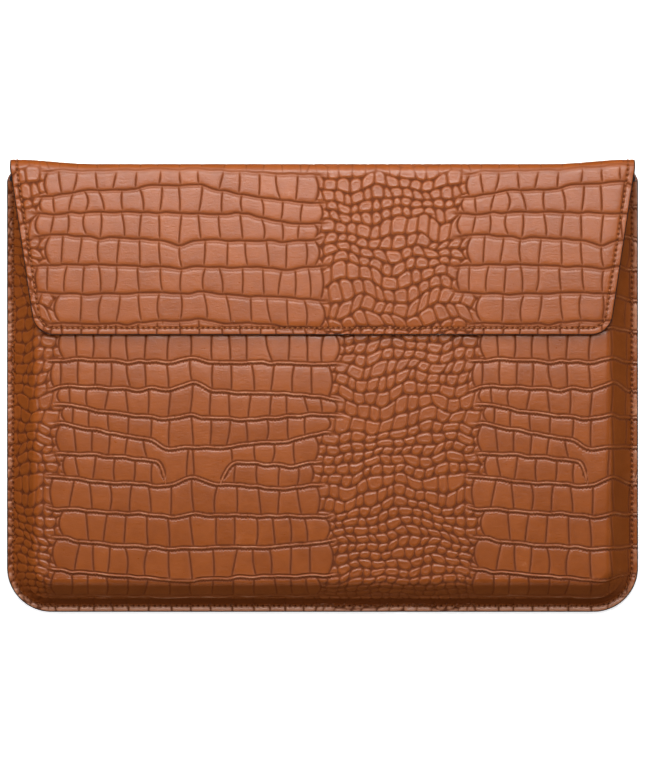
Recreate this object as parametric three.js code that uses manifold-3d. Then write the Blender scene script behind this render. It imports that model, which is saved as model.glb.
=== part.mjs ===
// Envelope laptop sleeve: a moulded front panel sewn to a flat back panel. The back panel's skin
// runs on over the top edge, as a spine and then as a flap that magnets hold shut.
// The closed sleeve lies on its back. Millimetres: +X along its width, +Y towards the folded top
// edge, +Z out of the front. The origin is under its middle, on the surface that it lies on.

import * as THREE from 'three';
import { mergeVertices } from 'three/addons/utils/BufferGeometryUtils.js';
import Module from 'manifold-3d';

const wasm = await Module();
wasm.setup();

// Outline
const WIDTH = 350; // over the sewn edges
const HEIGHT = 250.5; // bottom edge to folded top edge
const BOTTOM_RADIUS = 24.5; // both corners at the bottom
const SPINE_WIDTH = 345; // the skin narrows to this where it leaves the front panel
const MOUTH_DROP = 11.5; // the front panel's top edge lies this far below the folded top edge
const FLAP_REACH = 96.9; // folded top edge to the flap's lower edge
const FLAP_TAPER = 0.151; // how far each side leans in for each millimetre down
const FLAP_RADIUS = 12; // both corners of the flap
const FOLD_RADIUS = 5; // outside of both folds

// Layers
const LEATHER = 0.9;
const LINING = 0.4;
const BACK_BOARD = 0.9;
const BACK_FOAM = 1;
const FRONT_SHELL = 1.2;
const FLAP_BOARD = 1.2;
const POCKET_DEPTH = 15;
const LAYER_GAP = 0.15; // between layers, which only touch on the real sleeve
const FLAP_CLEARANCE = 0.3; // between the closed flap and the front panel

// Moulded front panel
const FLANGE = 3.5; // sewn flat edge
const CREST_INSET = 16; // where the sloping side would meet the flat front
const CREST_RADIUS = 4;
const BACK_LAYER_INSET = 8; // board, foam and lining of the back end inside the sloping sides

// Flap and closure
const FLAP_BOARD_INSET = 6;
const FLAP_LAYER_TOP = 118; // board and lining end below the upper fold
const MAGNET_RADIUS = 9;
const MAGNET_X = 95;
const MAGNET_RISE = 21; // above the flap's lower edge
const MAGNET_PLAY = 0.3;
const KEEPER_THICKNESS = 0.8;

// Thread
const THREAD_WIDTH = 0.7;
const THREAD_HEIGHT = 0.3;
const SEAM_INSET = 2.7; // of the perimeter seam, to its outer side
const FLAP_SEAM_INSET = 3.3;
const MOUTH_THREAD_HEIGHT = 0.2;
const THREAD_GAP = 0.03;
const SPINE_THREAD_HEIGHT = 0.2;

const ARC_STEPS = 10;
const FOLD_STEPS = 5;
const FOLD_SPLIT = 3; // degrees either side of a fold's middle that stay open between the bodies

const BOTTOM_Y = -HEIGHT / 2;
const TOP_Y = HEIGHT / 2;
const MOUTH_Y = TOP_Y - MOUTH_DROP;
const FOLD_Y = TOP_Y - FOLD_RADIUS; // where the flat panels end and the folds begin
const FLAP_EDGE_Y = TOP_Y - FLAP_REACH;

// Heights of the layers from the supporting surface up, as [low, high]
const above = (layer, thickness, gap = LAYER_GAP) => [layer[1] + gap, layer[1] + gap + thickness];
const backCover = [0, LEATHER];
const backBoard = above(backCover, BACK_BOARD);
const backFoam = above(backBoard, BACK_FOAM);
const backLining = above(backFoam, LINING);
const frontLining = above(backLining, LINING, POCKET_DEPTH);
const frontShell = above(frontLining, FRONT_SHELL);
const frontCover = above(frontShell, LEATHER);
const flapLining = above(frontCover, LINING, FLAP_CLEARANCE);
const flapBoard = above(flapLining, FLAP_BOARD);
const flapCover = above(flapBoard, LEATHER);
const flange = above(backCover, LEATHER);

const leather = new THREE.MeshStandardMaterial({ color: 0xa9623c, roughness: 0.5 });
const microfibre = new THREE.MeshStandardMaterial({ color: 0x1d1e21, roughness: 0.95 });
const greyBoard = new THREE.MeshStandardMaterial({ color: 0x8a8378, roughness: 0.9 });
const foam = new THREE.MeshStandardMaterial({ color: 0xd9d6cc, roughness: 1 });
const mouldedFoam = new THREE.MeshStandardMaterial({ color: 0x2b2b2d, roughness: 0.9 });
const thread = new THREE.MeshStandardMaterial({ color: 0x7c3a18, roughness: 0.7 });
const magnet = new THREE.MeshStandardMaterial({ color: 0xb9bcc0, roughness: 0.3, metalness: 1 });
const steel = new THREE.MeshStandardMaterial({ color: 0x9a9da1, roughness: 0.4, metalness: 1 });

const sleeve = new THREE.Group();

function addPiece(name, geometry, material) {
  const mesh = new THREE.Mesh(geometry, material);
  mesh.name = name;
  sleeve.add(mesh);
}

// An indexed geometry whose faces point out, whichever way round they were listed
function closedGeometry(vertices, faces) {
  const corner = (i) => new THREE.Vector3().fromArray(vertices, 3 * i);
  let volume = 0;
  for (let f = 0; f < faces.length; f += 3) {
    volume += corner(faces[f]).dot(corner(faces[f + 1]).cross(corner(faces[f + 2])));
  }
  const geometry = new THREE.BufferGeometry();
  geometry.setAttribute('position', new THREE.Float32BufferAttribute(vertices, 3));
  geometry.setIndex(volume < 0 ? [...faces].reverse() : faces);
  return geometry;
}

// A sheet of leather that follows a bent path. Each station is a point { y, z } on its outside,
// the direction { inY, inZ } to its inside, and half its width there.
function bentSheet(stations, thickness) {
  const vertices = [];
  for (const { y, z, inY, inZ, half } of stations) {
    const insideY = y + inY * thickness;
    const insideZ = z + inZ * thickness;
    vertices.push(-half, y, z, half, y, z, half, insideY, insideZ, -half, insideY, insideZ);
  }
  const faces = [];
  const quad = (a, b, c, d) => faces.push(a, b, c, a, c, d);
  for (let s = 0; s + 1 < stations.length; s += 1) {
    for (let side = 0; side < 4; side += 1) {
      const next = (side + 1) % 4;
      quad(4 * s + side, 4 * s + next, 4 * s + 4 + next, 4 * s + 4 + side);
    }
  }
  const last = 4 * (stations.length - 1);
  quad(3, 2, 1, 0);
  quad(last, last + 1, last + 2, last + 3);
  return closedGeometry(vertices, faces);
}

// A flat layer with the outline's points, given as [x, y], and round holes
function plate(outline, [low, high], holes = []) {
  const shape = new THREE.Shape(outline.map(([x, y]) => new THREE.Vector2(x, y)));
  for (const { x, y, radius } of holes) {
    shape.holes.push(new THREE.Path().absarc(x, y, radius, 0, 2 * Math.PI, true));
  }
  const geometry = new THREE.ExtrudeGeometry(shape, {
    depth: high - low,
    bevelEnabled: false,
    curveSegments: 24,
  });
  geometry.translate(0, 0, low);
  return geometry;
}

function disc(x, y, radius, [low, high]) {
  const geometry = new THREE.CylinderGeometry(radius, radius, high - low, 32);
  geometry.rotateX(Math.PI / 2);
  geometry.translate(x, y, (low + high) / 2);
  return geometry;
}

const mirrored = (points) => points.map(([x, y]) => [-x, y]).reverse();

function arc(centreX, centreY, radius, from, to) {
  const points = [];
  for (let step = 0; step <= ARC_STEPS; step += 1) {
    const angle = THREE.MathUtils.degToRad(from + ((to - from) * step) / ARC_STEPS);
    points.push([centreX + radius * Math.cos(angle), centreY + radius * Math.sin(angle)]);
  }
  return points;
}

// The sewn edge, inset evenly: from the mouth down the left side, and up the right to the top
function rim(inset, top = MOUTH_Y) {
  const half = WIDTH / 2 - inset;
  const radius = BOTTOM_RADIUS - inset;
  const corner = arc(half - radius, BOTTOM_Y + inset + radius, radius, -90, 0);
  const right = [...corner, [half, top]];
  return [...mirrored(right), ...right];
}

// The flap's edge, inset evenly: from the top down the left side, and up the right to the top
function flapEdge(inset, top = FLAP_LAYER_TOP) {
  const lean = Math.atan(FLAP_TAPER);
  const sideAt = (y) => SPINE_WIDTH / 2 - (FOLD_Y - y) * FLAP_TAPER;
  const centreY = FLAP_EDGE_Y + FLAP_RADIUS;
  const centreX = sideAt(centreY) - FLAP_RADIUS / Math.cos(lean);
  const sideAngle = -THREE.MathUtils.radToDeg(lean);
  const corner = arc(centreX, centreY, FLAP_RADIUS - inset, -90, sideAngle);
  const right = [...corner, [sideAt(top) - inset / Math.cos(lean), top]];
  return [...mirrored(right), ...right];
}

// A moulded panel between an upper and a lower skin. Each skin follows the rim inwards by its
// profile of [inset, height], is flat in the middle and ends at the mouth.
function mouldedPanel(upperProfile, lowerProfile) {
  const vertices = [];
  const faces = [];
  const quad = (a, b, c, d) => faces.push(a, b, c, a, c, d);
  const addSkin = (profile) =>
    profile.map(([inset, height]) =>
      rim(inset).map(([x, y]) => vertices.push(x, y, height) / 3 - 1),
    );
  const upper = addSkin(upperProfile);
  const lower = addSkin(lowerProfile);
  const rings = upper.length;
  const last = upper[0].length - 1;
  for (let i = 0; i < last; i += 1) {
    quad(lower[0][i], lower[0][i + 1], upper[0][i + 1], upper[0][i]);
    for (let k = 0; k + 1 < rings; k += 1) {
      quad(upper[k][i], upper[k][i + 1], upper[k + 1][i + 1], upper[k + 1][i]);
      quad(lower[k + 1][i], lower[k + 1][i + 1], lower[k][i + 1], lower[k][i]);
    }
  }
  const upperFlat = upper[rings - 1];
  const lowerFlat = lower[rings - 1];
  for (let i = 0; 2 * i < last - 1; i += 1) {
    quad(upperFlat[i], upperFlat[i + 1], upperFlat[last - i - 1], upperFlat[last - i]);
    quad(lowerFlat[last - i], lowerFlat[last - i - 1], lowerFlat[i + 1], lowerFlat[i]);
  }
  const acrossMouth = (skin) => [
    ...skin.map((ring) => ring[0]),
    ...skin.map((ring) => ring[last]).reverse(),
  ];
  const upperMouth = acrossMouth(upper);
  const lowerMouth = acrossMouth(lower);
  for (let j = 0; j + 1 < upperMouth.length; j += 1) {
    quad(upperMouth[j], upperMouth[j + 1], lowerMouth[j + 1], lowerMouth[j]);
  }
  return closedGeometry(vertices, faces);
}

// The front's outer surface is a flat flange, a straight slope, a round crest and a flat front.
// This is its profile from the slope's foot on, moved inwards by depth and cut off at the foot.
function slopeProfile(depth, foot) {
  const rise = frontCover[1] - flange[1];
  const slope = Math.atan2(rise, CREST_INSET - FLANGE);
  const radius = CREST_RADIUS - depth;
  const tangent = CREST_RADIUS * Math.tan(slope / 2);
  const centreInset = CREST_INSET + tangent;
  const centreHeight = frontCover[1] - CREST_RADIUS;
  const footInset = FLANGE + (foot - flange[1]) / Math.tan(slope) + depth / Math.sin(slope);
  const crest = [];
  for (let step = 0; step <= FOLD_STEPS; step += 1) {
    const angle = slope * (1 - step / FOLD_STEPS);
    crest.push([
      centreInset - radius * Math.sin(angle),
      centreHeight + radius * Math.cos(angle),
    ]);
  }
  return [[footInset, foot], ...crest];
}

function addFront() {
  const innerFoot = flange[0];
  const upper = [[0, flange[1]], ...slopeProfile(0, flange[1])];
  const lower = [[0, flange[0]], ...slopeProfile(LEATHER, innerFoot)];
  addPiece('front_cover', mouldedPanel(upper, lower), leather);

  const shellDepth = LEATHER + LAYER_GAP;
  const shell = mouldedPanel(
    slopeProfile(shellDepth, innerFoot),
    slopeProfile(shellDepth + FRONT_SHELL, innerFoot),
  );
  addPiece('front_shell', withKeeperHoles(shell), mouldedFoam);

  const liningDepth = shellDepth + FRONT_SHELL + LAYER_GAP;
  const lining = mouldedPanel(
    slopeProfile(liningDepth, innerFoot),
    slopeProfile(liningDepth + LINING, innerFoot),
  );
  addPiece('front_lining', lining, microfibre);
}

function toManifold(geometry) {
  const bare = new THREE.BufferGeometry();
  bare.setAttribute('position', geometry.getAttribute('position'));
  bare.setIndex(geometry.getIndex());
  const merged = mergeVertices(bare);
  return new wasm.Manifold(
    new wasm.Mesh({
      numProp: 3,
      vertProperties: new Float32Array(merged.getAttribute('position').array),
      triVerts: new Uint32Array(merged.getIndex().array),
    }),
  );
}

function fromManifold(solid) {
  const mesh = solid.getMesh();
  const geometry = new THREE.BufferGeometry();
  geometry.setAttribute('position', new THREE.BufferAttribute(mesh.vertProperties, 3));
  geometry.setIndex(new THREE.BufferAttribute(mesh.triVerts, 1));
  return geometry;
}

const CLOSURES = [
  ['left', -MAGNET_X],
  ['right', MAGNET_X],
];
const MAGNET_Y = FLAP_EDGE_Y + MAGNET_RISE;

function withKeeperHoles(shell) {
  const through = [frontShell[0] - 1, frontShell[1] + 1];
  let solid = toManifold(shell);
  for (const [, x] of CLOSURES) {
    const hole = disc(x, MAGNET_Y, MAGNET_RADIUS + MAGNET_PLAY, through);
    solid = solid.subtract(toManifold(hole));
  }
  return fromManifold(solid);
}

function addClosures() {
  const keeper = [frontShell[0], frontShell[0] + KEEPER_THICKNESS];
  for (const [side, x] of CLOSURES) {
    addPiece(`keeper_plate_${side}`, disc(x, MAGNET_Y, MAGNET_RADIUS, keeper), steel);
    addPiece(`flap_magnet_${side}`, disc(x, MAGNET_Y, MAGNET_RADIUS, flapBoard), magnet);
  }
}

// Stations round a fold, from one angle to another: 0 is flat on the back, 90 up the spine and
// 180 flat on the front.
function foldStations(centreZ, from, to) {
  const stations = [];
  for (let step = 0; step <= FOLD_STEPS; step += 1) {
    const angle = THREE.MathUtils.degToRad(from + ((to - from) * step) / FOLD_STEPS);
    const outY = Math.sin(angle);
    const outZ = -Math.cos(angle);
    stations.push({
      y: FOLD_Y + FOLD_RADIUS * outY,
      z: centreZ + FOLD_RADIUS * outZ,
      inY: -outY,
      inZ: -outZ,
      half: SPINE_WIDTH / 2,
    });
  }
  return stations;
}

// Stations of a flat panel, from the points of its right-hand edge
const flatStations = (edge, z, inZ) => edge.map(([half, y]) => ({ y, z, inY: 0, inZ, half }));

const rightHalf = (points) => points.slice(points.length / 2);
const lowerFoldZ = FOLD_RADIUS;
const upperFoldZ = flapCover[1] - FOLD_RADIUS;

function addBack() {
  const panel = flatStations(rightHalf(rim(0)), backCover[0], 1);
  const fold = foldStations(lowerFoldZ, 0, 45 - FOLD_SPLIT);
  addPiece('back_cover', bentSheet([...panel, ...fold], LEATHER), leather);
  const inside = rim(BACK_LAYER_INSET, FLAP_LAYER_TOP);
  addPiece('back_board', plate(inside, backBoard), greyBoard);
  addPiece('back_foam', plate(inside, backFoam), foam);
  addPiece('back_lining', plate(inside, backLining), microfibre);
}

// A strip that stands flat against the spine, between two heights
function spineStrip(halfWidth, outsideY, thickness, centreX = 0) {
  const low = lowerFoldZ;
  const high = upperFoldZ;
  const geometry = new THREE.BoxGeometry(2 * halfWidth, thickness, high - low);
  geometry.translate(centreX, outsideY - thickness / 2, (low + high) / 2);
  return geometry;
}

function addSpine() {
  const lower = foldStations(lowerFoldZ, 45 + FOLD_SPLIT, 90);
  const upper = foldStations(upperFoldZ, 90, 135 - FOLD_SPLIT);
  addPiece('spine_cover', bentSheet([...lower, ...upper], LEATHER), leather);
  const liningY = TOP_Y - LEATHER - LAYER_GAP;
  addPiece('spine_lining', spineStrip(SPINE_WIDTH / 2, liningY, LINING), microfibre);
  const threadX = SPINE_WIDTH / 2 - FLAP_SEAM_INSET;
  const threadY = liningY - LINING - THREAD_GAP;
  for (const [side, x] of [['left', -threadX], ['right', threadX]]) {
    const strip = spineStrip(THREAD_WIDTH / 2, threadY, SPINE_THREAD_HEIGHT, x);
    addPiece(`spine_thread_${side}`, strip, thread);
  }
}

function addFlap() {
  const fold = foldStations(upperFoldZ, 135 + FOLD_SPLIT, 180);
  const edge = rightHalf(flapEdge(0, FOLD_Y)).reverse().slice(1);
  const panel = flatStations(edge, flapCover[1], -1);
  addPiece('flap_cover', bentSheet([...fold, ...panel], LEATHER), leather);
  const holes = CLOSURES.map(([, x]) => ({ x, y: MAGNET_Y, radius: MAGNET_RADIUS + MAGNET_PLAY }));
  addPiece('flap_board', plate(flapEdge(FLAP_BOARD_INSET), flapBoard, holes), greyBoard);
  addPiece('flap_lining', plate(flapEdge(0), flapLining), microfibre);
}

// A row of stitches, as one bead between two insets of an edge
function bead(edge, inset, low, height) {
  const outline = [...edge(inset), ...edge(inset + THREAD_WIDTH).reverse()];
  return plate(outline, [low, low + height]);
}

function addThread() {
  const seam = bead(rim, SEAM_INSET, flange[1] + THREAD_GAP, THREAD_HEIGHT);
  addPiece('perimeter_thread', seam, thread);
  const flapSeam = bead(flapEdge, FLAP_SEAM_INSET, flapCover[1] + THREAD_GAP, THREAD_HEIGHT);
  addPiece('flap_thread', flapSeam, thread);
  const flatHalf = WIDTH / 2 - CREST_INSET - CREST_RADIUS;
  const mouthRow = new THREE.BoxGeometry(2 * flatHalf, THREAD_WIDTH, MOUTH_THREAD_HEIGHT);
  const mouthRowZ = frontCover[1] + THREAD_GAP + MOUTH_THREAD_HEIGHT / 2;
  mouthRow.translate(0, MOUTH_Y - FLAP_SEAM_INSET, mouthRowZ);
  addPiece('mouth_thread', mouthRow, thread);
}

addBack();
addFront();
addSpine();
addFlap();
addClosures();
addThread();

export default sleeve;
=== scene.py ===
"""Envelope laptop sleeve in embossed leather, lying on its back, seen from straight above.

Lengths are millimetres until a mesh is made. x runs along the width, y towards the folded top edge
and z out of the front. The skin of the back, spine and flap is drawn flat first: v is the distance
along it from the sleeve's bottom edge, up the back, over the spine and down the flap.
"""

import math
from types import SimpleNamespace

import bpy
import numpy as np
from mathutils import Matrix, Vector, geometry


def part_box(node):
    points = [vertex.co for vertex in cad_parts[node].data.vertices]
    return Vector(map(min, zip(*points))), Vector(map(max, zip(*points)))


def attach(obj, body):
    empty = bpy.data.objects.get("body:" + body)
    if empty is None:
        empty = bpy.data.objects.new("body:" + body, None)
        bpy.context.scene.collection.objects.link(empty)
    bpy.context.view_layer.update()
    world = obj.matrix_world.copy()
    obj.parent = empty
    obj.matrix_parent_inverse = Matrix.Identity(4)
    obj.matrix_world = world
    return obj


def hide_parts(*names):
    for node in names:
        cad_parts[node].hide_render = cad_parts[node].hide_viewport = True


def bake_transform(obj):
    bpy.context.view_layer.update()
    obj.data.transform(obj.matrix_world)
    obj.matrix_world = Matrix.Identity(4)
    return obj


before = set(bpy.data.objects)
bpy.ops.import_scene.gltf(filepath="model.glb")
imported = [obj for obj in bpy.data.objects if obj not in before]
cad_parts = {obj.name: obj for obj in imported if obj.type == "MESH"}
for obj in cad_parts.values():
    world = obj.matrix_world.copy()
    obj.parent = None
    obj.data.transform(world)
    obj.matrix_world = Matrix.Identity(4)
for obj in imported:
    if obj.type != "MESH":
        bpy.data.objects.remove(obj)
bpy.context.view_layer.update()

MM = 0.001
TAU = 2 * math.pi


def node_box(name):
    """A CAD node's lowest and highest corners, in millimetres."""
    low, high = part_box(name)
    return np.array(low) / MM, np.array(high) / MM


# Driving sizes, from the frame
FRONT_LOW, FRONT_HIGH = node_box("front_cover")
FLAP_LOW, FLAP_HIGH = node_box("flap_cover")
SPINE_HIGH = node_box("spine_cover")[1]
FLAP_LINING_HIGH = node_box("flap_lining")[1]
BACK_LINING_HIGH = node_box("back_lining")[1]
HALF_WIDTH = FRONT_HIGH[0]
BOTTOM_Y = FRONT_LOW[1]
MOUTH_Y = FRONT_HIGH[1]
TOP_Y = SPINE_HIGH[1]
SPINE_HALF = SPINE_HIGH[0]
FLAP_EDGE_Y = FLAP_LOW[1]
FRONT_Z = FRONT_HIGH[2]
FLANGE_LOW_Z = FRONT_LOW[2]
FLAP_Z = FLAP_HIGH[2]
LINING_Z = BACK_LINING_HIGH[2]

# Sizes of the leather
LEATHER = 0.9
LINING = 0.4
BOTTOM_RADIUS = 24.5
FLAP_RADIUS = 12.0
FLAP_TAPER = 0.151
FOLD_RADIUS = 5.0
FLANGE = 3.5
FOOT_CREASE = 8.0  # inset of the crease along the foot of the bottom slope
FOOT_RADIUS = 1.2
CREST_INSET = 16.0
CREST_RADIUS = 5.5
FLANGE_LIFT = 0.45  # how far the sewn edge turns up at its rim
CROWN = 0.7  # how far the flat front swells below the flap
FOLD_Y = TOP_Y - FOLD_RADIUS
TOP_DIP = 2.5
FLAP_PRESSED = 0.35
SEAM_INSET = 3.1
FLAP_SEAM_INSET = 3.6
MOUTH_SEAM = 3.3
STITCH_PITCH = 3.0
PAINTED = 0.35  # how far the dark edge paint comes in over the leather

STEP = 0.5

rng = np.random.default_rng(7)


def bell(distance, width):
    return np.exp(-((distance / width) ** 2))


def smoothstep(x, low, high):
    t = np.clip((x - low) / (high - low), 0, 1)
    return t * t * (3 - 2 * t)


def rounded_corner(a, b, radius):
    """Distance in from a corner between two edges that are a and b away, once it is rounded off."""
    inside = radius - np.hypot(np.maximum(radius - a, 0), np.maximum(radius - b, 0))
    return np.where((a < radius) & (b < radius), inside, np.minimum(a, b))


# ---------------------------------------------------------------- embossing

PERIOD = 233.0  # the plate repeats across the width
BELLY = 144.0  # width of its large square scales; small rounded ones fill the rest
SEAM = 72.0  # the joint in the middle of the square scales
SCALE_WIDTH = 12.0
PEBBLE_WIDTH = 6.6
PEBBLE_HEIGHT = 6.6
TABLE_STEP = 0.25
FINE_LINE = 0.95  # the two grooves beside a beaded row edge, as distances up from it
ROUGH_LINE = -1.1
DEEPEST = 0.85  # no embossed groove goes deeper than this
FRONT_ORIGIN = -144.5  # where each plate's square scales start across the width
SKIN_ORIGIN = 6.5

# Where the rows' edges are given, along the plate, and their heights on the front panel. Going down,
# the edge below -22 dips at its middle, and the one below that stops there in favour of the next.
FRONT_STATIONS = (0, 25, 50, 61, 73, 85, 105, 125, 145, 165, 187, 215)
FRONT_ROWS = (
    (-122, -122, -123, -124, -123, -123, -122, -122, -122, -121, -120, -121),
    (-101.7, -104.5, -106, -108.5, -107, -107, -105.3, -105.3, -104.8, -103, -99.5, -99.8),
    (-84, -87.7, -88.6, -90.4, -89.3, -89.3, -89, -88.6, -86, -82.5, -77.5, -80.8),
    (-68, -69.5, -71, -72.4, -70.7, -71.3, -71.6, -71.8, -72.3, -66.5, -62.5, -66),
    (-50.3, -53.2, -54.6, -54.6, -50.4, -53.9, -55.2, -57, -54, -52.5, -49.3, -49),
    (-37, -38.5, -41, -42, -42, -42, -42, -44.7, -41.5, -43, -36.5, -38.5),
    (-20.5, -25.5, -29.7, -35.5, -33.6, -34, -32, -30.5, -25.5, -29, -22.5, -21),
    (-9.5, -14.5, -17, -18.2, -16, -17.8, -18.5, -17, -15, -20, -14.5, -14),
    (0, -1, -2, -1.5, 2.2, -2.8, -3.8, -4.2, -6, -11, -6.5, -5.5),
    (14.8, 14, 13.5, 13.1, 15.6, 13, 13, 12.8, 12, 13, 13.5, 14),
)
FRONT_PITCH = 17.2
DOUBLE_SCALE = (51.0, 88.0)  # where the stopped edge leaves and comes back
DOUBLE_ROW = 5

# The same along the skin, as distances above the flap's lower edge
FLAP_STATIONS = (0, 13.5, 33.5, 51.5, 61.5, 72.5, 83.5, 103.5, 123.5, 145, 163.5, 185.5, 212.5)
FLAP_ROWS = (
    (91, 91.5, 92.2, 93.7, 94.2, 94.2, 94.2, 93.7, 93.1, 92, 89.5, 89, 90),
    (72.8, 74.2, 77.2, 81.2, 85, 84.2, 84.2, 81.5, 80.6, 76.6, 75.6, 74.6, 73.6),
    (60.9, 61.6, 66.6, 66.4, 67.2, 66.6, 67.6, 67.6, 67.6, 66.4, 66.6, 63.1, 62.6),
    (52.1, 51.6, 51.5, 52.4, 52.1, 49.4, 52, 53.4, 53.8, 55.6, 51.6, 53.6, 55.6),
    (37.1, 36.1, 37.1, 37.3, 37.6, 36.4, 37.4, 38.2, 38.6, 38.6, 36.6, 34.1, 39.1),
    (19.2, 20.4, 21.6, 22.2, 23.5, 22.8, 23.4, 22.5, 22.4, 22.8, 24.6, 18.6, 18.6),
    (3.4, 4.6, 6.1, 6.6, 8.8, 7.2, 7.7, 5.6, 5.9, 6.1, 6.6, 3.1, 2.6),
)
SKIN_PITCH = 16.0


class Embossing:
    """One embossing plate: rows of large square scales, with bands of small rounded ones between.

    Rows run along x, and their edges are given from the lowest up.
    """

    def __init__(self, seed, origin, stations, rows, double_row=None):
        self.random = np.random.default_rng(seed)
        self.origin = origin
        self.beaded = double_row is not None
        self.bands = len(rows) - 1
        self.table_at = np.arange(0, PERIOD + TABLE_STEP / 2, TABLE_STEP)
        self.table = np.stack([self.smooth_row(stations, row) for row in rows])
        if double_row is not None:
            self.stop_edge(double_row)
        self.slope = np.gradient(self.table, TABLE_STEP, axis=1)
        self.make_joints(double_row)
        self.make_pebbles()

    def smooth_row(self, stations, heights):
        """A row's edge through its stations, rounded off and a little uneven."""
        wrapped = np.append(stations, stations[0] + PERIOD), np.append(heights, heights[0])
        row = np.interp(self.table_at[:-1], *wrapped)
        n = len(row)
        frequency = np.fft.rfftfreq(n, TABLE_STEP)
        rough = np.fft.rfft(self.random.normal(0, 1, n))
        rough *= np.exp(-((frequency / 0.09) ** 2)) * (frequency > 0.02)
        noise = np.fft.irfft(rough, n)
        smooth = np.fft.irfft(np.fft.rfft(row) * np.exp(-2 * (math.pi * frequency * 2.0) ** 2), n)
        row = smooth + 0.28 * noise / noise.std()
        return np.append(row, row[0])

    def stop_edge(self, k):
        """Takes edge k down to the one below it over the double scale."""
        start, stop = DOUBLE_SCALE
        falling = np.clip((self.table_at - start) / 7, 0, 1)
        rising = np.clip((self.table_at - stop) / 11, 0, 1)
        kept = np.maximum(1 - falling**3, 1 - (1 - rising) ** 2.2)
        self.table[k] = self.table[k - 1] + (self.table[k] - self.table[k - 1]) * kept

    def along(self, x):
        """Distance along the plate from the left end of its square scales."""
        return np.mod(x - self.origin, PERIOD)

    def make_joints(self, double_row):
        """For each band, the joints between its square scales, and its two round ends."""
        self.joints, self.left_end, self.right_end, self.bulge = [], [], [], []
        for k in range(self.bands):
            left = self.random.uniform(-8, 2)
            right = BELLY + self.random.uniform(-5, 9)
            places = [SEAM + self.random.uniform(-0.7, 0.7)]
            for side, end in ((-1, left), (1, right)):
                at = places[0]
                while True:
                    reach = abs(at - SEAM) / 70
                    at += side * SCALE_WIDTH * (1.02 - 0.25 * reach) * self.random.uniform(0.82, 1.14)
                    if side * (end - at) < 5:
                        break
                    places.append(at)
            places = np.sort(places)
            if k == double_row:
                outside = (places < DOUBLE_SCALE[0] - 3) | (places > DOUBLE_SCALE[1] + 3)
                places = np.sort(np.append(places[outside], [SEAM - 2.2, SEAM + 1.2]))
            tilt = self.random.normal(0, 0.7, len(places))
            bow = self.random.normal(0, 0.6, len(places))
            self.joints.append((places, tilt, bow))
            self.left_end.append(left)
            self.right_end.append(right)
            self.bulge.append(self.random.uniform(1.5, 4.2))

    def make_pebbles(self):
        """Rows of small scales for each band: where the joints between them are, and their tilts."""
        middle = np.searchsorted(self.table_at, (BELLY + PERIOD) / 2)
        heights = np.diff(self.table[:, middle]) * self.random.uniform(0.85, 1.3, self.bands)
        self.pebble_rows = np.maximum(1, np.round(heights / PEBBLE_HEIGHT)).astype(int)
        self.first_row = np.concatenate([[0], np.cumsum(self.pebble_rows)])
        self.pebbles = []
        for band in range(self.bands):
            for _ in range(self.pebble_rows[band]):
                start, stop = self.right_end[band], self.left_end[band] + PERIOD
                count = int(round((stop - start) / (PEBBLE_WIDTH * self.random.uniform(0.8, 1.15))))
                share = (np.arange(count) + 0.5 + self.random.uniform(-0.2, 0.2, count)) / count
                tilts = self.random.normal(self.random.normal(0, 1.3), 0.8, count)
                self.pebbles.append((start + share * (stop - start), tilts))

    def inside_square(self, band, rise, u):
        """How far inside its band's run of square scales each point is; negative outside."""
        bulge = np.array(self.bulge)[band] * (1 - (2 * rise - 1) ** 2)
        left = np.array(self.left_end)[band] + 2.4 - bulge
        right = np.array(self.right_end)[band] - 2.4 + bulge
        past = np.where(u > (PERIOD + BELLY) / 2, u - PERIOD, u)
        return np.minimum(past - left, right - past)

    def joint_distance(self, band, rise, u):
        """Signed distance to the nearest joint of the square scales, and a number for the scale."""
        distance = np.full(len(u), 99.0)
        scale = np.zeros(len(u), int)
        past = np.where(u > (PERIOD + BELLY) / 2, u - PERIOD, u)
        for k in range(self.bands):
            mine = np.flatnonzero(band == k)
            if not len(mine):
                continue
            places, tilt, bow = self.joints[k]
            t = rise[mine] - 0.5
            near = np.searchsorted(places, past[mine])
            best = np.full(len(mine), 99.0)
            for offset in (-1, 0):
                j = np.clip(near + offset, 0, len(places) - 1)
                signed = past[mine] - (places[j] + 2 * tilt[j] * t + bow[j] * (4 * t * t - 0.5))
                best = np.where(np.abs(signed) < np.abs(best), signed, best)
            distance[mine] = best
            scale[mine] = near + 40 * k
        return distance, scale

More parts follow.
